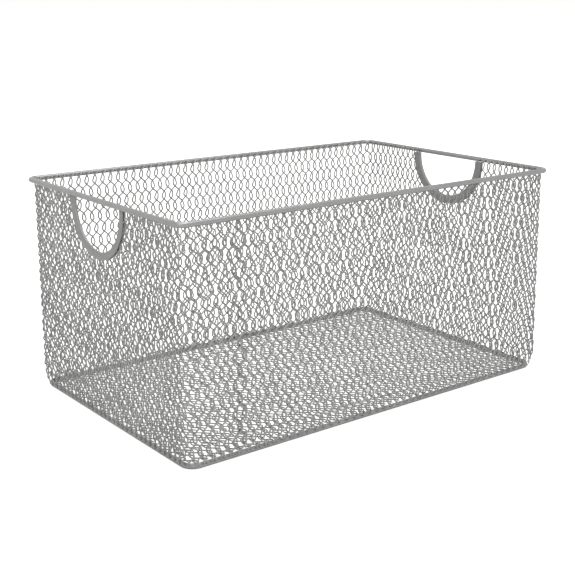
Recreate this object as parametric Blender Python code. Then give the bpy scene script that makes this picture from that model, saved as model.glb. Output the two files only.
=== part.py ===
"""Mesh storage basket of twisted-wire net on two wire hoops, with a pressed trim round each hand-hold.

Metres, +Z up. The origin is on the table under the middle of the basket. X runs along the long
sides, and the side with the net's seam faces -Y. The wall net is one strip: it is drawn flat, with
its length along X and its height along Y, and is then wrapped round the basket.
"""

import math

import bmesh
import bpy
from mathutils import Matrix, Vector

# Top rim: a round wire bent to a rounded rectangle, measured between its centre lines
RIM_LENGTH = 0.3956
RIM_WIDTH = 0.2516
RIM_HEIGHT = 0.1898
RIM_CORNER = 0.008
RIM_WIRE = 0.0044

# Base hoop, which the basket stands on
BASE_LENGTH = 0.3820
BASE_WIDTH = 0.2406
BASE_CORNER = 0.010
BASE_WIRE = 0.0044

# Net: the cells are drawn larger than the real 8 by 12 mm ones, in about the same proportions
NET_PITCH = 0.031
NET_ROW = 0.0375
NET_DEPTH = 0.0019
STRAND_WIDTH = 0.003
UPRIGHT_SHARE = 0.7
SELVEDGE_WIDTH = 0.0024
SEAM_X = -0.141
NET_LAP = 0.0011

# Hand-holds, one in each short side, under the rim: the clear opening inside the trim
HAND_HOLD_WIDTH = 0.073
HAND_HOLD_DEPTH = 0.0421
TRIM_WIDTH = 0.0088
TRIM_SHEET = 0.0006
TRIM_FOLD = 0.0007

# Between pieces that touch, and how far a cutter runs past what it cuts
FIT_GAP = 0.0003
CUT_OVERRUN = 0.005
WELD = 0.00001

# Facets
WIRE_SIDES = 12
HOOP_CORNER_STEPS = 4
NET_CORNER_STEPS = 2
TRIM_ARC_STEPS = 16

BASE_HEIGHT = BASE_WIRE / 2
RIM_SEAT = RIM_WIRE / 2 + FIT_GAP + NET_DEPTH / 2
BASE_SEAT = BASE_WIRE / 2 + FIT_GAP + NET_DEPTH / 2
NET_CORNER = RIM_CORNER - RIM_SEAT
NET_TOP = RIM_HEIGHT + NET_LAP
NET_FOOT = BASE_HEIGHT - NET_LAP


def make_material(name, color, roughness, metallic):
    """A plain Principled material in the piece's own colour."""
    material = bpy.data.materials.new(name)
    material.use_nodes = True
    shader = material.node_tree.nodes["Principled BSDF"]
    shader.inputs["Base Color"].default_value = (*color, 1.0)
    shader.inputs["Roughness"].default_value = roughness
    shader.inputs["Metallic"].default_value = metallic
    return material


def make_object(name, shape, material=None):
    """Turns a bmesh into a named object."""
    mesh = bpy.data.meshes.new(name)
    shape.to_mesh(mesh)
    shape.free()
    if material:
        mesh.materials.append(material)
    piece = bpy.data.objects.new(name, mesh)
    bpy.context.scene.collection.objects.link(piece)
    return piece


def shade_round(piece, edge_angle=math.radians(40)):
    """Smooth shading that keeps the edges sharper than the angle."""
    piece.data.shade_smooth()
    piece.data.set_sharp_from_angle(angle=edge_angle)


def everything(shape):
    """All of a bmesh's geometry, as its operators take it."""
    return shape.verts[:] + shape.edges[:] + shape.faces[:]


def draw_edges(shape, edges, vector):
    """Extrudes a loop of edges along a vector and returns the loop at the far end."""
    drawn = bmesh.ops.extrude_edge_only(shape, edges=edges)["geom"]
    ends = [part for part in drawn if isinstance(part, bmesh.types.BMVert)]
    bmesh.ops.translate(shape, verts=ends, vec=vector)
    return [part for part in drawn if isinstance(part, bmesh.types.BMEdge)]


def make_hoop(name, length, width, corner, wire, height, material):
    """A wire hoop: one section turned round each corner and drawn along each side."""
    hoop = bmesh.new()
    # The wire's radius is kept at its facets, so that they lie flat on the table and on the net
    radius = wire / 2 / math.cos(math.pi / WIRE_SIDES)
    place = (
        Matrix.Translation((length / 2, corner - width / 2, height))
        @ Matrix.Rotation(math.pi / 2, 4, "X")
        @ Matrix.Rotation(math.pi / WIRE_SIDES, 4, "Z")
    )
    bmesh.ops.create_circle(hoop, segments=WIRE_SIDES, radius=radius, matrix=place)
    front = hoop.edges[:]
    runs = (width - 2 * corner, length - 2 * corner) * 2
    heading = Vector((0, 1, 0))
    centre = Vector((length / 2 - corner, width / 2 - corner, height))
    for run in runs:
        front = draw_edges(hoop, front, heading * run)
        turned = bmesh.ops.spin(
            hoop, geom=front, cent=centre, axis=(0, 0, 1), angle=math.pi / 2, steps=HOOP_CORNER_STEPS
        )
        front = [part for part in turned["geom_last"] if isinstance(part, bmesh.types.BMEdge)]
        heading.rotate(Matrix.Rotation(math.pi / 2, 3, "Z"))
        centre += heading * (runs[1] if abs(heading.x) > abs(heading.y) else runs[0])
    bmesh.ops.remove_doubles(hoop, verts=hoop.verts, dist=WELD)
    bmesh.ops.recalc_face_normals(hoop, faces=hoop.faces)
    piece = make_object(name, hoop, material)
    shade_round(piece)
    return piece


def draw_net(length, height):
    """A flat net over length by height from the origin: a face for each strand and knot.

    The gaps stay as faces of material 1, so that a cut can leave some of them filled.
    """
    across, up = max(1, round(length / NET_PITCH)), max(1, round(height / NET_ROW))
    step, rise = length / across, height / up
    upright = UPRIGHT_SHARE * rise / 2
    corners = [
        (0, rise - upright),
        (-step / 2, upright),
        (-step / 2, -upright),
        (0, upright - rise),
        (step / 2, -upright),
        (step / 2, upright),
    ]
    net = bmesh.new()
    for row in range(-1, up + 2):
        for column in range(-2, across + 2):
            middle_x, middle_y = (column + row % 2 / 2) * step, row * rise
            net.faces.new([net.verts.new((middle_x + x, middle_y + y, 0)) for x, y in corners])
    bmesh.ops.remove_doubles(net, verts=net.verts, dist=WELD)
    strands = bmesh.ops.bevel(
        net,
        geom=net.edges[:],
        offset=STRAND_WIDTH / 2,
        offset_type="OFFSET",
        affect="EDGES",
        segments=1,
        profile=0.5,
        material=-1,
    )["faces"]
    for face in net.faces:
        face.material_index = 1
    for face in strands:
        face.material_index = 0
    return net


def clip(net, outline):
    """Keeps what lies inside a convex outline, whose points run anticlockwise."""
    for start, end in zip(outline, outline[1:] + outline[:1]):
        along = Vector(end) - Vector(start)
        bmesh.ops.bisect_plane(
            net,
            geom=everything(net),
            dist=WELD,
            plane_co=(*start, 0),
            plane_no=(along.y, -along.x, 0),
            clear_outer=True,
        )


def score(net, along):
    """Divides the faces at one place along the strip, where it will bend."""
    bmesh.ops.bisect_plane(
        net, geom=everything(net), dist=WELD, plane_co=(along, 0, 0), plane_no=(1, 0, 0)
    )


def open_gaps(net, low=-math.inf, high=math.inf):
    """Removes the gaps' faces whose middles lie between two places along the net."""
    gaps = [
        face
        for face in net.faces
        if face.material_index == 1 and low < face.calc_center_median().x < high
    ]
    bmesh.ops.delete(net, geom=gaps, context="FACES")
    for face in net.faces:
        face.material_index = 0


def thicken(net):
    """Gives the flat net its depth, half of it on each side."""
    raised = bmesh.ops.extrude_face_region(net, geom=everything(net))["geom"]
    top = [part for part in raised if isinstance(part, bmesh.types.BMVert)]
    bmesh.ops.translate(net, verts=top, vec=(0, 0, NET_DEPTH))
    bmesh.ops.translate(net, verts=net.verts, vec=(0, 0, -NET_DEPTH / 2))
    bmesh.ops.recalc_face_normals(net, faces=net.faces)


def drop_snippets(net):
    """Keeps the largest connected body: the ends that a cut sets free fall away."""
    unseen, bodies = set(net.verts), []
    while unseen:
        body, edge_of_body = set(), [unseen.pop()]
        while edge_of_body:
            vert = edge_of_body.pop()
            body.add(vert)
            for edge in vert.link_edges:
                other = edge.other_vert(vert)
                if other in unseen:
                    unseen.remove(other)
                    edge_of_body.append(other)
        bodies.append(body)
    largest = max(bodies, key=len)
    loose = [vert for vert in net.verts if vert not in largest]
    bmesh.ops.delete(net, geom=loose, context="VERTS")


def rounded_rectangle(length, width, corner, steps):
    """The outline's points, anticlockwise and centred on the origin."""
    points = []
    for quarter, (sign_x, sign_y) in enumerate(((1, -1), (1, 1), (-1, 1), (-1, -1))):
        for step in range(steps + 1):
            angle = math.pi / 2 * (quarter - 1 + step / steps)
            points.append(
                (
                    sign_x * (length / 2 - corner) + corner * math.cos(angle),
                    sign_y * (width / 2 - corner) + corner * math.sin(angle),
                )
            )
    return points


def wall_section(height):
    """Half length and half width of the net's middle surface: inside the rim, outside the base hoop."""
    share = (height - BASE_HEIGHT) / (RIM_HEIGHT - BASE_HEIGHT)
    foot = Vector((BASE_LENGTH / 2 + BASE_SEAT, BASE_WIDTH / 2 + BASE_SEAT))
    top = Vector((RIM_LENGTH / 2 - RIM_SEAT, RIM_WIDTH / 2 - RIM_SEAT))
    return foot.lerp(top, share)


def wall_sides(height):
    """The straight sides at one height as pairs of ends, from the seam round to the seam again."""
    half_length, half_width = wall_section(height)
    x, y = half_length - NET_CORNER, half_width - NET_CORNER
    ends = [
        ((SEAM_X, -half_width), (x, -half_width)),
        ((half_length, -y), (half_length, y)),
        ((x, half_width), (-x, half_width)),
        ((-half_length, y), (-half_length, -y)),
        ((-x, -half_width), (SEAM_X, -half_width)),
    ]
    return [(Vector(start), Vector(end)) for start, end in ends]


def strip_pieces():
    """The lengths of the strip's straight sides and quarter turns, measured under the rim."""
    turn = NET_CORNER * math.pi / 2
    pieces = []
    for start, end in wall_sides(RIM_HEIGHT):
        pieces += [(end - start).length, turn]
    return pieces[:-1]


STRIP = strip_pieces()
STRIP_LENGTH = sum(STRIP)


def wrap(point):
    """Takes a point of the flat strip, at its distance out from the middle surface, to its place."""
    along, height, out = point
    piece = 0
    while piece < len(STRIP) - 1 and along > STRIP[piece]:
        along -= STRIP[piece]
        piece += 1
    share = along / STRIP[piece]
    side, turning = divmod(piece, 2)
    start, end = wall_sides(height)[side]
    angle = math.pi / 2 * (side - 1 + share * turning)
    outward = Vector((math.cos(angle), math.sin(angle)))
    if turning:
        square = Vector((math.cos(math.pi / 2 * (side - 1)), math.sin(math.pi / 2 * (side - 1))))
        place = end + NET_CORNER * (outward - square)
    else:
        place = start.lerp(end, share)
    place += outward * out
    return Vector((place.x, place.y, height))


def wrap_mesh(mesh):
    """Wraps a flat mesh round the basket."""
    for vertex in mesh.vertices:
        vertex.co = wrap(vertex.co)
    mesh.update()


def hand_hold_places():
    """How far along the strip the middles of the right and left hand-holds lie."""
    return [sum(STRIP[:piece]) + STRIP[piece] / 2 for piece in (2, 6)]


def hand_hold_outline(middle, radius):
    """The flat outline of an opening: a half round below, open to past the net's upper edge."""
    centre = RIM_HEIGHT - HAND_HOLD_DEPTH + HAND_HOLD_WIDTH / 2
    points = [(middle + radius, NET_TOP + CUT_OVERRUN), (middle - radius, NET_TOP + CUT_OVERRUN)]
    for step in range(TRIM_ARC_STEPS + 1):
        angle = math.pi * (1 + step / TRIM_ARC_STEPS)
        points.append((middle + radius * math.cos(angle), centre + radius * math.sin(angle)))
    return points


def make_hand_hold_cutter(middle):
    """The flat block that takes the net out of an opening, up to inside the trim's fold."""
    block = bmesh.new()
    radius = HAND_HOLD_WIDTH / 2 + TRIM_SHEET + FIT_GAP
    outline = [block.verts.new((x, y, -CUT_OVERRUN)) for x, y in hand_hold_outline(middle, radius)]
    raised = bmesh.ops.extrude_face_region(block, geom=[block.faces.new(outline)])["geom"]
    top = [part for part in raised if isinstance(part, bmesh.types.BMVert)]
    bmesh.ops.translate(block, verts=top, vec=(0, 0, 2 * CUT_OVERRUN))
    bmesh.ops.recalc_face_normals(block, faces=block.faces)
    cutter = make_object("hand_hold_cutter", block)
    cutter.hide_render = True
    cutter.display_type = "WIRE"
    return cutter


def make_wall_net(material):
    """The strip round the four sides, from one selvedge at the seam to the other."""
    net = draw_net(STRIP_LENGTH, NET_TOP - NET_FOOT)
    bmesh.ops.translate(net, verts=net.verts, vec=(0, NET_FOOT, 0))
    low, high = FIT_GAP / 2, STRIP_LENGTH - FIT_GAP / 2
    clip(net, [(low, NET_FOOT), (high, NET_FOOT), (high, NET_TOP), (low, NET_TOP)])
    first, last = low + SELVEDGE_WIDTH, high - SELVEDGE_WIDTH
    score(net, first)
    score(net, last)
    open_gaps(net, first, last)
    for piece in range(1, len(STRIP), 2):
        for step in range(NET_CORNER_STEPS + 1):
            score(net, sum(STRIP[:piece]) + STRIP[piece] * step / NET_CORNER_STEPS)
    thicken(net)
    flat = make_object("wall_net_flat", net)
    cutters = [make_hand_hold_cutter(middle) for middle in hand_hold_places()]
    for cutter in cutters:
        cut = flat.modifiers.new("hand_hold", "BOOLEAN")
        cut.operation = "DIFFERENCE"
        cut.solver = "EXACT"
        cut.object = cutter
    graph = bpy.context.evaluated_depsgraph_get()
    cut_mesh = bpy.data.meshes.new_from_object(flat.evaluated_get(graph))
    for helper in [flat] + cutters:
        bpy.data.objects.remove(helper)
    cut_net = bmesh.new()
    cut_net.from_mesh(cut_mesh)
    bpy.data.meshes.remove(cut_mesh)
    drop_snippets(cut_net)
    piece = make_object("wall_net", cut_net)
    piece.data.materials.clear()
    piece.data.materials.append(material)
    wrap_mesh(piece.data)
    return piece


def make_floor_net(material):
    """The rectangle of net that lies on the base hoop, its strands running from front to back."""
    net = draw_net(BASE_LENGTH, BASE_WIDTH)
    bmesh.ops.translate(net, verts=net.verts, vec=(-BASE_LENGTH / 2, -BASE_WIDTH / 2, 0))
    clip(net, rounded_rectangle(BASE_LENGTH, BASE_WIDTH, BASE_CORNER, HOOP_CORNER_STEPS))
    open_gaps(net)
    thicken(net)
    drop_snippets(net)
    bmesh.ops.translate(net, verts=net.verts, vec=(0, 0, BASE_WIRE + FIT_GAP + NET_DEPTH / 2))
    return make_object("floor_net", net, material)


def trim_section():
    """The folded sheet's outline: distance in from the opening's edge, and out from the net's middle."""
    face = NET_DEPTH / 2 + FIT_GAP + TRIM_SHEET
    inside = face - TRIM_SHEET
    return [
        (0, face - TRIM_FOLD),
        (TRIM_FOLD, face),
        (TRIM_WIDTH, face),
        (TRIM_WIDTH, inside),
        (TRIM_SHEET, inside),
        (TRIM_SHEET, -inside),
        (TRIM_WIDTH, -inside),
        (TRIM_WIDTH, -face),
        (TRIM_FOLD, -face),
        (0, TRIM_FOLD - face),
    ]


def make_trim(name, middle, material):
    """A channel folded over the net's cut edge: down one side, round below and up the other."""
    trim = bmesh.new()
    radius = HAND_HOLD_WIDTH / 2
    centre = Vector((middle, RIM_HEIGHT - HAND_HOLD_DEPTH + radius, 0))
    top = RIM_HEIGHT - RIM_WIRE / 2 - FIT_GAP
    section = [trim.verts.new((middle - radius - x, top, z)) for x, z in trim_section()]
    front = trim.faces.new(section).edges[:]
    front = draw_edges(trim, front, Vector((0, centre.y - top, 0)))
    turned = bmesh.ops.spin(
        trim, geom=front, cent=centre, axis=(0, 0, 1), angle=math.pi, steps=TRIM_ARC_STEPS
    )["geom_last"]
    front = [part for part in turned if isinstance(part, bmesh.types.BMEdge)]
    front = draw_edges(trim, front, Vector((0, top - centre.y, 0)))
    bmesh.ops.edgeloop_fill(trim, edges=front)
    bmesh.ops.recalc_face_normals(trim, faces=trim.faces)
    piece = make_object(name, trim, material)
    wrap_mesh(piece.data)
    shade_round(piece)
    return piece


def main():
    for old in list(bpy.data.objects):
        bpy.data.objects.remove(old)
    wire = make_material("coated_wire", (0.30, 0.30, 0.28), 0.38, 0.7)
    net = make_material("coated_net", (0.24, 0.24, 0.23), 0.45, 0.6)
    pressed = make_material("coated_trim", (0.30, 0.30, 0.28), 0.42, 0.6)
    make_hoop("top_rim", RIM_LENGTH, RIM_WIDTH, RIM_CORNER, RIM_WIRE, RIM_HEIGHT, wire)
    make_hoop("base_hoop", BASE_LENGTH, BASE_WIDTH, BASE_CORNER, BASE_WIRE, BASE_HEIGHT, wire)
    make_wall_net(net)
    make_floor_net(net)
    right, left = hand_hold_places()
    make_trim("right_hand_hold_trim", right, pressed)
    make_trim("left_hand_hold_trim", left, pressed)


main()
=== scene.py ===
"""A mesh storage basket: a rim and a base hoop of round wire, hexagonal net of fine wire on the
walls and the floor, and a pressed trim round the hand-hold in each short side.

Metres, +Z up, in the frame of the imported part. Every size that the part has is taken from it.
"""

import math
from collections import namedtuple

import bmesh
import bpy
from bpy.props import FloatProperty, FloatVectorProperty, PointerProperty
from mathutils import Matrix, Vector


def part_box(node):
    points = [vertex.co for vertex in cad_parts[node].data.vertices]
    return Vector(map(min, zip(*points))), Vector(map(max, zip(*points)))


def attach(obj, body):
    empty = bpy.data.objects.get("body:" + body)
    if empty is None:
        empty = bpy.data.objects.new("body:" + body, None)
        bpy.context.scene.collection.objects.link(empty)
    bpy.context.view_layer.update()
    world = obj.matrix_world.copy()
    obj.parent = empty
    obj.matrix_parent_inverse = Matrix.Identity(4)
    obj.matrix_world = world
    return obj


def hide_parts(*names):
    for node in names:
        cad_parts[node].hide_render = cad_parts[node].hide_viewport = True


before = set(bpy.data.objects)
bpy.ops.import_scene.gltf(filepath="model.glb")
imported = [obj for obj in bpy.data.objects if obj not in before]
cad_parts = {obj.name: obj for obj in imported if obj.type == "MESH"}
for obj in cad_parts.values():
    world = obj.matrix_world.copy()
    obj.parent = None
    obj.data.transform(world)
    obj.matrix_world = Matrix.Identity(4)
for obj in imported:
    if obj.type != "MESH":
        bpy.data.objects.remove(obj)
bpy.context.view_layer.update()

bl_info = {
    "name": "Mesh Storage Basket",
    "version": (1, 0, 0),
    "blender": (4, 5, 0),
    "location": "3D View > Sidebar > Basket",
    "description": "Makes a wire mesh storage basket piece by piece",
    "category": "Add Mesh",
}


def node_size(node, axis):
    """How far a node of the part reaches along an axis."""
    low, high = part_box(node)
    return high[axis] - low[axis]


RIM_WIRE = node_size("top_rim", 2)
BASE_WIRE = node_size("base_hoop", 2)
RIM_LENGTH = node_size("top_rim", 0) - RIM_WIRE
RIM_WIDTH = node_size("top_rim", 1) - RIM_WIRE
RIM_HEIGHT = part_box("top_rim")[1][2] - RIM_WIRE / 2
BASE_LENGTH = node_size("base_hoop", 0) - BASE_WIRE
BASE_WIDTH = node_size("base_hoop", 1) - BASE_WIRE
BASE_HEIGHT = BASE_WIRE / 2

# Facets, and how close two points are to be one
HOOP_SIDES = 32
HOOP_RUN_STEPS = 8
HOOP_CORNER_STEPS = 16
WIRE_SIDES = 6
MOST_END_SIDES = 12
FOLD_STEPS = 8
TRIM_STEPS = 64
WELD = 0.00001

# A wire of few sides is this much thicker, to cover as much as a round one
FACETED_OVER_ROUND = 1.07
# How much squarer than a half wave an eye's bow is
EYE_SQUARENESS = 0.12

# How high the net's ends stand above the middle of the rim's wire and of the base hoop's, how far
# outside the base hoop its middle lies, in wires, and over how many rows its corners widen there
NET_OVER_RIM = 0.0012
NET_OVER_BASE = 0.0006
NET_OUTSIDE_BASE = 0.5
WIDENING_ROWS = 1.5
# By what share a trim and the weld to the base hoop press the net flatter
PRESSED_BY_TRIM = 0.35
PRESSED_BY_WELD = 0.55
# At the seam: the columns that lap, and how far they stand out, in wires, and aside, in cells
LAP_COLUMNS = 1
LAP_OUT = 1.6
LAP_ASIDE = 0.25

# The two hand-holds differ a little: the openings' radii, the trims' widths, how much higher than
# the part's each trim ends below, and how far the left one lies aside of its wall's middle
HAND_HOLD_RADII = {"left": 0.0378, "right": 0.0384}
TRIM_WIDTHS = {"left": 0.0065, "right": 0.0086}
TRIM_SPARE = {"left": 0.001, "right": 0.0016}
LEFT_HAND_HOLD_ASIDE = 0.004
HandHold = namedtuple("HandHold", "middle radius centre band")
# The channel's thickness outside, how much it bulges, its edges' bevel, in and out, how far its
# ends reach into the rim, and the share of its width that holds no net
TRIM_FOLD = 0.003
TRIM_BULGE = 1.04
TRIM_BEVEL_IN = 0.0002
TRIM_BEVEL_OUT = 0.00015
TRIM_IN_RIM = 0.0002
TRIM_WITHOUT_NET = 0.4

# How the net lies on a wall: the width and height of its cells, where one eye lies, along from the
# wall's middle and up from the table, by how much of the way the columns lean along and the rows
# climb, and by how much of the way squared places far from the wall's middle move along and up,
# and places far from its middle height
Weave = namedtuple("Weave", "cell row along up lean tilt spread arch bend sag")
FRONT_WEAVE = Weave(
    0.00833, 0.01127, -0.0039, -0.0003, 0.0133, -0.0146, -0.039, 0.087, -0.073, -0.039
)
# From the seam round to it again
WEAVES = (
    FRONT_WEAVE,
    Weave(0.00759, 0.01168, -0.0033, -0.0021, -0.0002, 0.0166, 0.135, -0.103, 0.026, 0.049),
    Weave(0.00813, 0.01145, -0.0018, 0.0005, 0.0027, 0.0030, -0.057, -0.002, -0.089, -0.030),
    Weave(0.00751, 0.01138, 0.0074, -0.0015, -0.0461, -0.0018, -0.040, -0.015, 0.570, 0.300),
    FRONT_WEAVE,
)
WALL_MIDDLE_HEIGHT = 0.1
# The floor's net, along from the floor's middle and up from there to the back
FLOOR_WEAVE = Weave(
    0.00778, 0.01172, -0.0035, 0.0046, 0.0085, -0.0424, 0.016, 0.037, 0.332, 0.43
)
# Columns over which one wall's weave changes into the next at a corner
CORNER_COLUMNS = 7

# The camera's place, how far round and how high it looks from, and its lens, as the photograph's
CAMERA_PLACE = (-0.59356, -0.78065, 0.35238)
CAMERA_ROUND = math.radians(-38.301)
CAMERA_HEIGHT = math.radians(12.658)
CAMERA_LENS = 69.055
CAMERA_SENSOR = 36
CAMERA_SHIFT = (-0.04609, -0.08783)
CAMERA_CLIP = (0.01, 100)

# Each lamp's name, place, side and power, and where they all aim
LAMPS = (
    ("lamp overhead", (0.1, -0.2, 2.2), 1.8, 26),
    ("lamp front left", (-1.6, -1.3, 1.1), 1.2, 5),
)
LAMP_AIM = (0, 0, 0.09)
WORLD_LIGHT = 0.5
# The ceiling that reflections show, and how steeply up it begins and is full
CEILING_COLOR = (0.70, 0.74, 0.77, 1)
CEILING_RANGE = (0.3, 0.75)
FLOOR_REACH = 6
# How much the floor is lit up where the camera sees it, and where a reflection does
FLOOR_GLOW = 0.75
FLOOR_GLOW_REFLECTED = 0.1


class BasketSizes(bpy.types.PropertyGroup):
    """Sizes that the part leaves open"""

    rim_corner: FloatProperty(
        name="Rim corner", description="Radius of the rim's corners, at the wire's centre line",
        default=0.008, unit="LENGTH",
    )
    base_corner: FloatProperty(
        name="Base corner",
        description="Radius of the base hoop's corners, at the wire's centre line",
        default=0.010, unit="LENGTH",
    )
    net_wire: FloatProperty(
        name="Net wire", description="Thickness of the net's wire with its coating",
        default=0.00128, unit="LENGTH",
    )
    floor_wire: FloatProperty(
        name="Floor wire", description="Thickness of the floor net's wire, which looks finer",
        default=0.00105, unit="LENGTH",
    )
    net_pitch: FloatProperty(
        name="Cell width",
        description="Width of a cell of the flat net, before it is laid on a wall",
        default=0.00812, unit="LENGTH",
    )
    net_row: FloatProperty(
        name="Row height",
        description="Height of a row of the flat net, before it is laid on a wall",
        default=0.01152, unit="LENGTH",
    )
    eye_bow: FloatProperty(
        name="Eye bow", description="How far each wire of an eye bows out from its middle",
        default=0.00162, unit="LENGTH",
    )
    eye_lean: FloatProperty(
        name="Eye lean", description="How far an eye's ends lean aside, each row the other way",
        default=0.0002, unit="LENGTH",
    )
    eye_share: FloatProperty(
        name="Eye share", description="Height of an eye as a share of its row",
        default=0.70, min=0.3, max=0.95,
    )
    seam: FloatProperty(
        name="Seam", description="Where the net's two ends meet in the front wall, from its middle",
        default=-0.149, unit="LENGTH",
    )
    trim_sheet: FloatProperty(
        name="Trim sheet", description="Thickness of the pressed sheet round each hand-hold",
        default=0.0006, unit="LENGTH",
    )


class BasketColors(bpy.types.PropertyGroup):
    """Colours of the three coated finishes and of the floor"""

    hoop: FloatVectorProperty(
        name="Hoops", description="Colour of the coated rim and base hoop",
        subtype="COLOR", size=3, min=0, max=1, default=(0.36, 0.362, 0.353),
    )
    net: FloatVectorProperty(
        name="Net", description="Colour of the coated net wire",
        subtype="COLOR", size=3, min=0, max=1, default=(0.40, 0.402, 0.39),
    )
    trim: FloatVectorProperty(
        name="Trims", description="Colour of the coated hand-hold trims",
        subtype="COLOR", size=3, min=0, max=1, default=(0.325, 0.327, 0.317),
    )
    floor: FloatVectorProperty(
        name="Floor", description="Colour of the floor the basket stands on",
        subtype="COLOR", size=3, min=0, max=1, default=(0.93, 0.93, 0.93),
    )


def sizes():
    return bpy.context.scene.basket_sizes


def colors():
    return bpy.context.scene.basket_colors


def new_piece(name, shape, node, material):
    """Turns a bmesh into a piece that stands for a node of the part and rides on its body."""
    mesh = bpy.data.meshes.new(name)
    shape.to_mesh(mesh)
    shape.free()
    mesh.materials.append(material)
    mesh.shade_smooth()
    piece = bpy.data.objects.new(name, mesh)
    bpy.context.scene.collection.objects.link(piece)
    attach(piece, "root")
    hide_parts(node)
    return piece


def limited(value):
    """The value, but never under 0 or over 1."""
    return max(0.0, min(1.0, value))


def everything(shape):
    return shape.verts[:] + shape.edges[:] + shape.faces[:]


def points_of(parts):
    return [part for part in parts if isinstance(part, bmesh.types.BMVert)]


def lines_of(parts):
    return [part for part in parts if isinstance(part, bmesh.types.BMEdge)]


def draw_out(shape, ring, offset):
    """Extrudes a ring of edges along an offset and returns the ring at the far end."""
    drawn = bmesh.ops.extrude_edge_only(shape, edges=ring)["geom"]
    bmesh.ops.translate(shape, verts=points_of(drawn), vec=offset)
    return lines_of(drawn)


def repeat(shape, offset, times):
    """Sets copies of the whole shape in a row."""
    if times > 0:
        bmesh.ops.spin(
            shape, geom=everything(shape), cent=(0, 0, 0), axis=(0, 0, 1), dvec=offset,
            angle=0, steps=times, use_duplicate=True,
        )


def make_hoop(length, width, corner, wire, height):
    """A round wire bent to a rounded rectangle, with a smooth turn at each corner."""
    hoop = bmesh.new()
    place = Matrix.Translation((length / 2, corner - width / 2, height)) @ Matrix.Rotation(
        math.pi / 2, 4, "X"
    )
    bmesh.ops.create_circle(hoop, segments=HOOP_SIDES, radius=wire / 2, matrix=place)
    ring = hoop.edges[:]
    heading = Vector((0, 1, 0))
    centre = Vector((length / 2 - corner, width / 2 - corner, height))
    for run in (width - 2 * corner, length - 2 * corner) * 2:
        for part in range(HOOP_RUN_STEPS):
            ring = draw_out(hoop, ring, heading * run / HOOP_RUN_STEPS)
        turned = bmesh.ops.spin(
            hoop, geom=ring, cent=centre, axis=(0, 0, 1), angle=math.pi / 2,
            steps=HOOP_CORNER_STEPS,
        )
        ring = lines_of(turned["geom_last"])
        heading.rotate(Matrix.Rotation(math.pi / 2, 3, "Z"))
        centre += heading * (length - 2 * corner if abs(heading.x) > 0.5 else width - 2 * corner)
    bmesh.ops.remove_doubles(hoop, verts=hoop.verts, dist=WELD)
    bmesh.ops.recalc_face_normals(hoop, faces=hoop.faces)
    return hoop


def eye_path(part, way):
    """Where a wire's centre lies, for a height given in rows: across in metres, and out in wires.

    The wire bows round an eye at each whole row, its own way at an even one and the other way at
    an odd one, half a cell aside, and runs straight between them. The eyes lean in turns.
    """
    size = sizes()
    row = math.floor(part + 0.5)
    reach = size.eye_share / 2
    local = part - row
    side = -1 if row % 2 else 1
    middle = 0.0 if row % 2 == 0 else -way * size.net_pitch / 2
    if abs(local) < reach:
        turn = math.pi * (local + reach) / (2 * reach)
        bow = math.sin(turn) + EYE_SQUARENESS * math.sin(3 * turn)
        bow *= size.eye_bow / (1 - EYE_SQUARENESS)
        lean = side * size.eye_lean * (math.sin(2 * turn) - local / reach)
        return middle + way * side * bow + lean, way * side * math.cos(turn) / 2
    share = (abs(local) - reach) / (1 - 2 * reach)
    other = -way * size.net_pitch / 2 - middle
    up = math.copysign(1, local)
    lean = -side * up * size.eye_lean
    return middle + (other - middle) * share + lean, -way * side * up / 2


def make_wire(way, low, high, thickness, steps_in_eye, steps_between):
    """One wire of the net, upright along Y from a low row to a high one, round its eyes."""
    size = sizes()
    reach = size.eye_share / 2
    parts = []
    for row in range(low, high + 1):
        parts += [row - reach + 2 * reach * step / steps_in_eye for step in range(steps_in_eye)]
        parts += [
            row + reach + (1 - 2 * reach) * step / steps_between for step in range(steps_between)
        ]
    path = []
    for part in parts:
        across, out = eye_path(part, way)
        path.append(Vector((across, part * size.net_row, out * thickness)))
    wire = bmesh.new()
    place = Matrix.Translation(path[0]) @ Matrix.Rotation(math.pi / 2, 4, "X")
    radius = thickness / 2 * FACETED_OVER_ROUND
    bmesh.ops.create_circle(wire, segments=WIRE_SIDES, radius=radius, matrix=place)
    ring = wire.edges[:]
    heading = Vector((0, 1, 0))
    for start, end, after in zip(path, path[1:], path[2:] + path[-1:]):
        ring = draw_out(wire, ring, end - start)
        turned = (after - start).normalized()
        corners = list({corner for edge in ring for corner in edge.verts})
        turn = heading.rotation_difference(turned).to_matrix()
        bmesh.ops.rotate(wire, verts=corners, cent=end, matrix=turn)
        heading = turned
    return wire


def make_lattice(columns, low, high, thickness, steps_in_eye=6, steps_between=2):
    """Flat net: pairs of wires side by side, which part round each eye."""
    pitch = sizes().net_pitch
    net = make_wire(1, low, high, thickness, steps_in_eye, steps_between)
    twin = make_wire(-1, low, high, thickness, steps_in_eye, steps_between)
    mesh = bpy.data.meshes.new("twin")
    twin.to_mesh(mesh)
    twin.free()
    net.from_mesh(mesh)
    bpy.data.meshes.remove(mesh)
    repeat(net, (pitch, 0, 0), columns - 1)
    return net


def cut_level(net, level, normal):
    """Cuts the net straight across and closes the wires' ends."""
    cut = bmesh.ops.bisect_plane(
        net, geom=everything(net), plane_co=level, plane_no=normal, clear_outer=True
    )["geom_cut"]
    bmesh.ops.holes_fill(net, edges=lines_of(cut), sides=MOST_END_SIDES)


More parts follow.
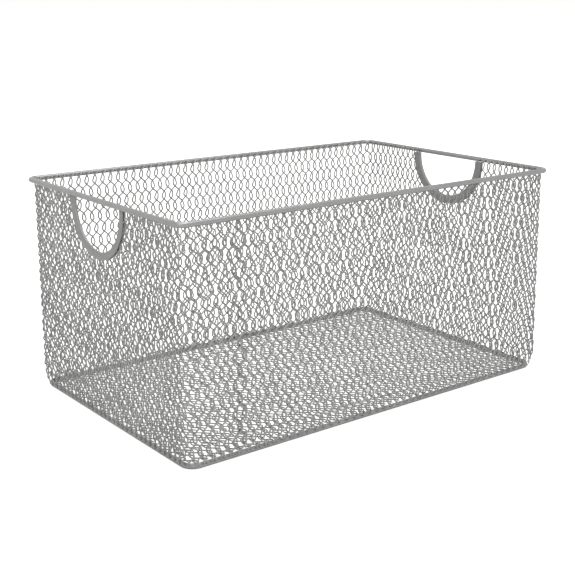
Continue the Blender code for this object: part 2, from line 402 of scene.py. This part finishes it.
def wall_size(height):
    """Half length, half width and corner radius of the wall net's middle surface at a height.

    The net hangs inside the rim and comes down outside the base hoop, and its corners widen to
    the base hoop's over the lowest rows.
    """
    size = sizes()
    share = (height - BASE_HEIGHT) / (RIM_HEIGHT - BASE_HEIGHT)
    inside = RIM_WIRE / 2 + size.net_wire
    outside = BASE_WIRE / 2 + NET_OUTSIDE_BASE * size.net_wire
    top = Vector((RIM_LENGTH / 2 - inside, RIM_WIDTH / 2 - inside))
    foot = Vector((BASE_LENGTH / 2 + outside, BASE_WIDTH / 2 + outside))
    narrow, wide = size.rim_corner - inside, size.base_corner + outside
    widening = max(0.0, 1 - (height - BASE_HEIGHT) / (WIDENING_ROWS * size.net_row)) ** 2
    return foot.lerp(top, share), narrow + (wide - narrow) * min(1.0, widening)


def strip_sides():
    """Lengths of the strip from corner to corner, along the long and the short sides."""
    half, corner = wall_size(RIM_HEIGHT)
    saved = (2 - math.pi / 2) * corner
    return 2 * half.x - saved, 2 * half.y - saved


def middles_along():
    """How far round from the seam the middles of the walls lie, the front wall's first and last."""
    long_side, short_side = strip_sides()
    start = -sizes().seam
    step = (long_side + short_side) / 2
    return [start + step * wall for wall in range(5)]


def on_wall(along, height, out):
    """Takes a point of the flat strip, at its distance out from the middle, to its place."""
    size = sizes()
    long_side, short_side = strip_sides()
    step = (long_side + short_side) / 2
    turned = along + size.seam + long_side / 2
    wall = 0
    lengths = (long_side, short_side, long_side, short_side, long_side)
    while wall < 4 and turned > lengths[wall]:
        turned -= lengths[wall]
        wall += 1
    from_middle = turned - lengths[wall] / 2
    level = min(height, RIM_HEIGHT)
    half, corner = wall_size(level)
    reach, depth = (half.x, half.y) if wall % 2 == 0 else (half.y, half.x)
    straight = reach - corner
    from_middle *= (straight + corner * math.pi / 4) / (lengths[wall] / 2)
    side = math.copysign(1.0, from_middle)
    past = max(0.0, abs(from_middle) - straight) / corner
    tangent = Matrix.Rotation(math.pi / 2 * wall, 2) @ Vector((1, 0))
    outward = Matrix.Rotation(math.pi / 2 * wall, 2) @ Vector((0, -1))
    if past:
        spot = tangent * side * (straight + corner * math.sin(past)) + outward * (
            depth - corner + corner * math.cos(past)
        )
        normal = tangent * side * math.sin(past) + outward * math.cos(past)
    else:
        spot = tangent * from_middle + outward * depth
        normal = outward
    over = height - RIM_HEIGHT
    if over > 0:
        # Past the rim's middle the net bends outwards over the wire
        seat = RIM_WIRE / 2 + size.net_wire
        lean = over / seat
        rise = (seat - out) * math.sin(lean)
        spot = spot + normal * (seat - (seat - out) * math.cos(lean))
        return Vector((spot.x, spot.y, RIM_HEIGHT + rise))
    spot = spot + normal * out
    return Vector((spot.x, spot.y, height))


def woven(weave, column, row, level):
    """How far along and up a place of the net lies, counted in cells from the weave's eye."""
    run, rise = weave.along + column * weave.cell, row * weave.row
    off = rise - level
    along = run + rise * weave.lean + run**2 * weave.spread + off**2 * weave.bend
    up = weave.up + rise + column * weave.cell * weave.tilt
    return along, up + run**2 * weave.arch + off**2 * weave.sag


def half_sides():
    long_side, short_side = strip_sides()
    return [long_side / 2, short_side / 2, long_side / 2, short_side / 2, long_side / 2]


def count_columns():
    """The column that the eye of each wall's weave is in, and the columns at the corners."""
    halves = half_sides()
    columns, corners = [0], []
    for wall in range(4):
        weave, following = WEAVES[wall], WEAVES[wall + 1]
        before = (halves[wall] - weave.spread * halves[wall] ** 2 - weave.along) / weave.cell
        after = halves[wall + 1] + following.spread * halves[wall + 1] ** 2 + following.along
        after /= following.cell
        columns.append(columns[-1] + round(before + after))
        corners.append((columns[-2] + before + columns[-1] - after) / 2)
    return columns, corners


def on_strip(column, row, wall, columns, corners):
    """How far along the strip and how high a place of the net lies, between two walls' weaves."""
    middles = middles_along()
    share = 0.0
    other = wall
    if wall < 4 and column > corners[wall] - CORNER_COLUMNS / 2:
        other, share = wall + 1, (column - corners[wall]) / CORNER_COLUMNS + 0.5
    elif wall > 0 and column < corners[wall - 1] + CORNER_COLUMNS / 2:
        other, share = wall - 1, (corners[wall - 1] - column) / CORNER_COLUMNS + 0.5
    share = limited(share)
    share = share * share * (3 - 2 * share)
    spots = []
    for each in (wall, other):
        along, up = woven(WEAVES[each], column - columns[each], row, WALL_MIDDLE_HEIGHT)
        spots.append(Vector((middles[each] + along, up)))
    return spots[0].lerp(spots[1], share)


def seam_columns(columns):
    """The first column of the strip, at the seam, and the last, which laps over it."""
    weave = WEAVES[0]
    seam = sizes().seam
    start = (seam - weave.spread * seam**2 - weave.along) / weave.cell
    first = math.ceil(columns[0] + start)
    return first, first + columns[4] - columns[0] + LAP_COLUMNS


def make_wall_net(wall, first, last, columns, corners):
    """The strip of net between two columns of cells, cut to height and wrapped round the basket."""
    size = sizes()
    middles = middles_along()
    # The rows climb along the wall, so there is one to spare below and two above
    rows = math.ceil(RIM_HEIGHT / size.net_row)
    net = make_lattice(last - first, -1, rows + 2, size.net_wire)
    for point in net.verts:
        column, row = point.co.x / size.net_pitch + first, point.co.y / size.net_row
        along, height = on_strip(column, row, wall, columns, corners)
        point.co = (along, height, point.co.z)
    cut_level(net, (0, RIM_HEIGHT + NET_OVER_RIM, 0), (0, 1, 0))
    cut_level(net, (0, BASE_HEIGHT + NET_OVER_BASE, 0), (0, -1, 0))
    holds = hand_holds().values()
    for hold in holds:
        cut_hand_hold(net, hold)
    bmesh.ops.recalc_face_normals(net, faces=net.faces)
    end = middles[4] + size.seam
    for point in net.verts:
        along, height, out = point.co
        clear = min(past_hand_hold(along, height, hold) / hold.band for hold in holds)
        out *= 1 - PRESSED_BY_TRIM * limited(2 - clear)
        out *= 1 - PRESSED_BY_WELD * limited(2 - (height - BASE_HEIGHT) / BASE_WIRE)
        # The far end of the strip laps over its start, a little aside of it
        lap = limited((along - end) / size.net_pitch + 1)
        out += LAP_OUT * size.net_wire * lap
        point.co = on_wall(along - LAP_ASIDE * size.net_pitch * lap, height, out)
    return net


def hand_holds():
    """How far round each hand-hold's middle lies, its radius, its centre's height and its trim."""
    middles = middles_along()
    found = {}
    for side, middle in (("right", middles[1]), ("left", middles[3] - LEFT_HAND_HOLD_ASIDE)):
        radius, band = HAND_HOLD_RADII[side], TRIM_WIDTHS[side]
        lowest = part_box(side + "_hand_hold_trim")[0][2] + band + TRIM_SPARE[side]
        found[side] = HandHold(middle, radius, lowest + radius, band)
    return found


def past_hand_hold(along, height, hold):
    """How far a place on the strip lies outside the edge of a hand-hold."""
    up = min(0.0, height - hold.centre)
    return math.hypot(along - hold.middle, up) - hold.radius


def cut_hand_hold(net, hold):
    """Takes the net out of a hand-hold, up to its place in the trim."""
    gone = []
    for face in net.faces:
        spot = face.calc_center_median()
        if past_hand_hold(spot.x, spot.y, hold) < hold.band * TRIM_WITHOUT_NET:
            gone.append(face)
    if gone:
        bmesh.ops.delete(net, geom=gone, context="FACES")
        rims = [edge for edge in net.edges if edge.is_boundary]
        bmesh.ops.holes_fill(net, edges=rims, sides=MOST_END_SIDES)


def make_floor_net():
    """The sheet of net on the base hoop, its wires running from front to back."""
    size = sizes()
    weave = FLOOR_WEAVE
    columns = math.ceil(BASE_LENGTH / weave.cell) + 1
    rows = math.ceil(BASE_WIDTH / weave.row / 2) + 1
    net = make_lattice(columns, -rows, rows, size.floor_wire, steps_between=1)
    level = BASE_WIRE + size.floor_wire
    for point in net.verts:
        column, row = point.co.x / size.net_pitch - (columns - 1) // 2, point.co.y / size.net_row
        along, up = woven(weave, column, row, 0)
        point.co = (along, up, point.co.z + level)
    reach = BASE_WIDTH / 2
    cut_level(net, (0, reach, 0), (0, 1, 0))
    cut_level(net, (0, -reach, 0), (0, -1, 0))
    cut_level(net, (BASE_LENGTH / 2, 0, 0), (1, 0, 0))
    cut_level(net, (-BASE_LENGTH / 2, 0, 0), (-1, 0, 0))
    # The corners follow the hoop's
    inset = size.base_corner * (2 - math.sqrt(2))
    for side_x in (-1, 1):
        for side_y in (-1, 1):
            edge = (side_x * (BASE_LENGTH / 2 - inset / 2), side_y * (reach - inset / 2), 0)
            cut_level(net, edge, (side_x, side_y, 0))
    bmesh.ops.recalc_face_normals(net, faces=net.faces)
    return net


def trim_section(band):
    """The folded sheet's outline: distance in from the opening's edge, and out from the middle."""
    outer = TRIM_FOLD / 2
    inner = outer - sizes().trim_sheet
    outline = []
    for step in range(FOLD_STEPS + 1):
        angle = math.pi / 2 + math.pi * step / FOLD_STEPS
        outline.append((outer + outer * math.cos(angle), outer * math.sin(angle)))
    leg = [
        (band / 2, -outer * TRIM_BULGE),
        (band - TRIM_BEVEL_IN, -outer),
        (band, -outer + TRIM_BEVEL_OUT),
        (band, -inner),
        (outer, -inner),
    ]
    return outline + leg + [(x, -z) for x, z in reversed(leg)]


def make_trim(hold):
    """A channel folded over the net's cut edge: down one side, round below and up the other."""
    trim = bmesh.new()
    centre = Vector((hold.middle, hold.centre, 0))
    top = RIM_HEIGHT - RIM_WIRE / 2 + TRIM_IN_RIM
    side = hold.middle - hold.radius
    section = [trim.verts.new((side - x, top, z)) for x, z in trim_section(hold.band)]
    ring = trim.faces.new(section).edges[:]
    ring = draw_out(trim, ring, Vector((0, centre.y - top, 0)))
    turned = bmesh.ops.spin(
        trim, geom=ring, cent=centre, axis=(0, 0, 1), angle=math.pi, steps=TRIM_STEPS
    )
    ring = draw_out(trim, lines_of(turned["geom_last"]), Vector((0, top - centre.y, 0)))
    bmesh.ops.edgeloop_fill(trim, edges=ring)
    bmesh.ops.recalc_face_normals(trim, faces=trim.faces)
    for point in trim.verts:
        point.co = on_wall(*point.co)
    return trim


def node_group(name, inputs, outputs):
    """An empty shader group with its named sockets, and its two end nodes."""
    group = bpy.data.node_groups.new(name, "ShaderNodeTree")
    for label, kind, value in inputs:
        socket = group.interface.new_socket(name=label, in_out="INPUT", socket_type=kind)
        if value is not None:
            socket.default_value = value
    for label, kind in outputs:
        group.interface.new_socket(name=label, in_out="OUTPUT", socket_type=kind)
    return group, group.nodes.new("NodeGroupInput"), group.nodes.new("NodeGroupOutput")


def plain_node(tree, kind, **values):
    """A new node with numbers and colours on its named sockets."""
    node = tree.nodes.new(kind)
    for label, value in values.items():
        node.inputs[label].default_value = value
    return node


def math_node(tree, operation, *given):
    """A Math node's result, its inputs given as numbers or as other nodes' sockets."""
    node = tree.nodes.new("ShaderNodeMath")
    node.operation = operation
    for socket, value in zip(node.inputs, given):
        if isinstance(value, bpy.types.NodeSocket):
            tree.links.new(value, socket)
        else:
            socket.default_value = value
    return node.outputs[0]


def coating_grain():
    """The sprayed coating: fine orange peel, and soft clouds of tone."""
    group, given, made = node_group(
        "coating grain",
        [
            ("Vector", "NodeSocketVector", None),
            ("Color", "NodeSocketColor", None),
            ("Clouding", "NodeSocketFloat", 0.08),
            ("Roughness", "NodeSocketFloat", 0.4),
            ("Peel Gloss", "NodeSocketFloat", 0.08),
        ],
        [
            ("Color", "NodeSocketColor"),
            ("Roughness", "NodeSocketFloat"),
            ("Height", "NodeSocketFloat"),
        ],
    )
    links = group.links
    peel = plain_node(group, "ShaderNodeTexNoise", Scale=1400, Detail=3)
    cloud = plain_node(group, "ShaderNodeTexNoise", Scale=60, Detail=4)
    for texture in (peel, cloud):
        links.new(given.outputs["Vector"], texture.inputs["Vector"])
    spread = plain_node(
        group, "ShaderNodeMapRange",
        **{"From Min": 0.3, "From Max": 0.7, "To Min": -1, "To Max": 1},
    )
    links.new(cloud.outputs["Fac"], spread.inputs["Value"])
    clouding = given.outputs["Clouding"]
    tone = math_node(group, "MULTIPLY_ADD", spread.outputs["Result"], clouding, 1)
    shade = group.nodes.new("ShaderNodeVectorMath")
    shade.operation = "SCALE"
    links.new(given.outputs["Color"], shade.inputs[0])
    links.new(tone, shade.inputs["Scale"])
    links.new(shade.outputs[0], made.inputs["Color"])
    gloss = math_node(
        group, "MULTIPLY_ADD",
        peel.outputs["Fac"], given.outputs["Peel Gloss"], given.outputs["Roughness"],
    )
    links.new(gloss, made.inputs["Roughness"])
    links.new(peel.outputs["Fac"], made.inputs["Height"])
    return group


def coated_metal(name, color, clouding, roughness, metallic, bump):
    """Satin silver-grey coating on steel."""
    material = bpy.data.materials.get(name)
    if material:
        return material
    material = bpy.data.materials.new(name)
    material.use_nodes = True
    tree = material.node_tree
    links = tree.links
    shader = tree.nodes["Principled BSDF"]
    shader.inputs["Metallic"].default_value = metallic
    place = tree.nodes.new("ShaderNodeTexCoord")
    grain = tree.nodes.new("ShaderNodeGroup")
    grain.node_tree = bpy.data.node_groups.get("coating grain") or coating_grain()
    grain.inputs["Color"].default_value = (*color, 1)
    grain.inputs["Clouding"].default_value = clouding
    grain.inputs["Roughness"].default_value = roughness
    relief = plain_node(tree, "ShaderNodeBump", Strength=bump, Distance=0.0001)
    links.new(place.outputs["Object"], grain.inputs["Vector"])
    links.new(grain.outputs["Color"], shader.inputs["Base Color"])
    links.new(grain.outputs["Roughness"], shader.inputs["Roughness"])
    links.new(grain.outputs["Height"], relief.inputs["Height"])
    links.new(relief.outputs["Normal"], shader.inputs["Normal"])
    return material


def hoop_material():
    return coated_metal(
        "coated hoop wire", colors().hoop, clouding=0.05, roughness=0.3, metallic=0.85, bump=0.2
    )


def net_material():
    return coated_metal(
        "coated net wire", colors().net, clouding=0.12, roughness=0.42, metallic=0.35, bump=0.2
    )


def trim_material():
    return coated_metal(
        "coated pressed trim", colors().trim, clouding=0.05, roughness=0.40, metallic=0.6,
        bump=0.25,
    )


class BASKET_OT_hoops(bpy.types.Operator):
    """Makes the rim and the base hoop"""

    bl_idname = "basket.hoops"
    bl_label = "Rim and Base Hoop"

    def execute(self, context):
        size = sizes()
        rim = make_hoop(RIM_LENGTH, RIM_WIDTH, size.rim_corner, RIM_WIRE, RIM_HEIGHT)
        new_piece("rim_wire", rim, "top_rim", hoop_material())
        base = make_hoop(BASE_LENGTH, BASE_WIDTH, size.base_corner, BASE_WIRE, BASE_HEIGHT)
        new_piece("base_wire", base, "base_hoop", hoop_material())
        return {"FINISHED"}


class BASKET_OT_wall_net(bpy.types.Operator):
    """Makes the strip of net round the walls, in a piece for each wall"""

    bl_idname = "basket.wall_net"
    bl_label = "Wall Net"

    def execute(self, context):
        columns, corners = count_columns()
        first, last = seam_columns(columns)
        ends = [first, *(round(corner) for corner in corners), last]
        names = ("front_net", "right_net", "back_net", "left_net", "front_net_past_seam")
        for wall, name in enumerate(names):
            net = make_wall_net(wall, ends[wall], ends[wall + 1], columns, corners)
            new_piece(name, net, "wall_net", net_material())
        return {"FINISHED"}


class BASKET_OT_floor_net(bpy.types.Operator):
    """Makes the sheet of net on the base hoop"""

    bl_idname = "basket.floor_net"
    bl_label = "Floor Net"

    def execute(self, context):
        new_piece("bottom_net", make_floor_net(), "floor_net", net_material())
        return {"FINISHED"}


class BASKET_OT_trims(bpy.types.Operator):
    """Makes the pressed trims round the two hand-holds"""

    bl_idname = "basket.trims"
    bl_label = "Hand-Hold Trims"

    def execute(self, context):
        for side, hold in hand_holds().items():
            new_piece(
                side + "_trim", make_trim(hold), side + "_hand_hold_trim",
                trim_material(),
            )
        return {"FINISHED"}


def seen_white(tree):
    """1 for rays that the camera, a reflection or glass sends, and 0 for the light itself."""
    path = tree.nodes.new("ShaderNodeLightPath")
    straight = math_node(
        tree, "MAXIMUM", path.outputs["Is Camera Ray"], path.outputs["Is Glossy Ray"]
    )
    return math_node(tree, "MAXIMUM", straight, path.outputs["Is Transmission Ray"])


def make_world():
    """A white studio: plain soft light on the basket, white all round and a cool ceiling."""
    world = bpy.data.worlds.new("studio")
    world.use_nodes = True
    tree = world.node_tree
    tree.nodes.clear()
    out = tree.nodes.new("ShaderNodeOutputWorld")
    light = plain_node(tree, "ShaderNodeBackground", Color=(1, 1, 1, 1), Strength=WORLD_LIGHT)
    seen = plain_node(tree, "ShaderNodeBackground", Strength=1.0)
    place = tree.nodes.new("ShaderNodeTexCoord")
    parts = tree.nodes.new("ShaderNodeSeparateXYZ")
    ramp = tree.nodes.new("ShaderNodeValToRGB")
    stops = zip(ramp.color_ramp.elements, CEILING_RANGE, ((1, 1, 1, 1), CEILING_COLOR))
    for stop, position, color in stops:
        stop.position = position
        stop.color = color
    tree.links.new(place.outputs["Generated"], parts.inputs[0])
    tree.links.new(parts.outputs["Z"], ramp.inputs[0])
    tree.links.new(ramp.outputs[0], seen.inputs["Color"])
    mix = tree.nodes.new("ShaderNodeMixShader")
    tree.links.new(seen_white(tree), mix.inputs[0])
    tree.links.new(light.outputs[0], mix.inputs[1])
    tree.links.new(seen.outputs[0], mix.inputs[2])
    tree.links.new(mix.outputs[0], out.inputs["Surface"])
    bpy.context.scene.world = world


def add_lamp(name, place, size, power):
    """A square soft lamp that faces the basket."""
    lamp = bpy.data.lights.new(name, "AREA")
    lamp.shape = "SQUARE"
    lamp.size = size
    lamp.energy = power
    holder = bpy.data.objects.new(name, lamp)
    holder.location = place
    aim = Vector(LAMP_AIM) - Vector(place)
    holder.rotation_euler = aim.to_track_quat("-Z", "Y").to_euler()
    bpy.context.scene.collection.objects.link(holder)


def add_camera():
    camera = bpy.data.cameras.new("photo camera")
    camera.lens = CAMERA_LENS
    camera.sensor_width = CAMERA_SENSOR
    camera.shift_x, camera.shift_y = CAMERA_SHIFT
    camera.clip_start, camera.clip_end = CAMERA_CLIP
    holder = bpy.data.objects.new("photo camera", camera)
    holder.location = CAMERA_PLACE
    level = math.cos(CAMERA_HEIGHT)
    back = Vector(
        (math.sin(CAMERA_ROUND) * level, -math.cos(CAMERA_ROUND) * level, math.sin(CAMERA_HEIGHT))
    )
    holder.rotation_euler = (-back).to_track_quat("-Z", "Y").to_euler()
    bpy.context.scene.collection.objects.link(holder)
    bpy.context.scene.camera = holder


def floor_material():
    """A pale matt floor, lit up to white where the camera or a reflection sees it unshaded."""
    material = bpy.data.materials.new("pale floor")
    material.use_nodes = True
    tree = material.node_tree
    shader = tree.nodes["Principled BSDF"]
    shader.inputs["Base Color"].default_value = (*colors().floor, 1)
    shader.inputs["Roughness"].default_value = 0.9
    shader.inputs["Specular IOR Level"].default_value = 0.1
    shader.inputs["Emission Color"].default_value = (1, 1, 1, 1)
    path = tree.nodes.new("ShaderNodeLightPath")
    direct = math_node(
        tree, "MULTIPLY", path.outputs["Is Camera Ray"], FLOOR_GLOW - FLOOR_GLOW_REFLECTED
    )
    glow = math_node(tree, "MULTIPLY_ADD", seen_white(tree), FLOOR_GLOW_REFLECTED, direct)
    tree.links.new(glow, shader.inputs["Emission Strength"])
    return material


class BASKET_OT_stage(bpy.types.Operator):
    """Makes the floor, the lamps, the white surroundings and the camera"""

    bl_idname = "basket.stage"
    bl_label = "Floor, Lamps and Camera"

    def execute(self, context):
        shape = bmesh.new()
        bmesh.ops.create_grid(shape, x_segments=1, y_segments=1, size=FLOOR_REACH)
        mesh = bpy.data.meshes.new("floor")
        shape.to_mesh(mesh)
        shape.free()
        mesh.materials.append(floor_material())
        floor = bpy.data.objects.new("floor", mesh)
        context.scene.collection.objects.link(floor)
        make_world()
        for lamp in LAMPS:
            add_lamp(*lamp)
        add_camera()
        context.scene.view_settings.view_transform = "Standard"
        return {"FINISHED"}


class BASKET_PT_panel(bpy.types.Panel):
    """Lists the basket's sizes, colours and pieces"""

    bl_idname = "BASKET_PT_panel"
    bl_label = "Mesh Storage Basket"
    bl_space_type = "VIEW_3D"
    bl_region_type = "UI"
    bl_category = "Basket"

    def draw(self, context):
        layout = self.layout
        for group in (context.scene.basket_sizes, context.scene.basket_colors):
            box = layout.box()
            for name in group.__annotations__:
                box.prop(group, name)
        for operator in OPERATORS:
            layout.operator(operator.bl_idname)


OPERATORS = (
    BASKET_OT_hoops,
    BASKET_OT_wall_net,
    BASKET_OT_floor_net,
    BASKET_OT_trims,
    BASKET_OT_stage,
)
CLASSES = (BasketSizes, BasketColors, *OPERATORS, BASKET_PT_panel)


def register():
    for each in CLASSES:
        bpy.utils.register_class(each)
    bpy.types.Scene.basket_sizes = PointerProperty(type=BasketSizes)
    bpy.types.Scene.basket_colors = PointerProperty(type=BasketColors)


def unregister():
    del bpy.types.Scene.basket_colors
    del bpy.types.Scene.basket_sizes
    for each in reversed(CLASSES):
        bpy.utils.unregister_class(each)


def main():
    register()
    bpy.ops.basket.hoops()
    bpy.ops.basket.wall_net()
    bpy.ops.basket.floor_net()
    bpy.ops.basket.trims()
    bpy.ops.basket.stage()


if __name__ == "__main__":
    main()
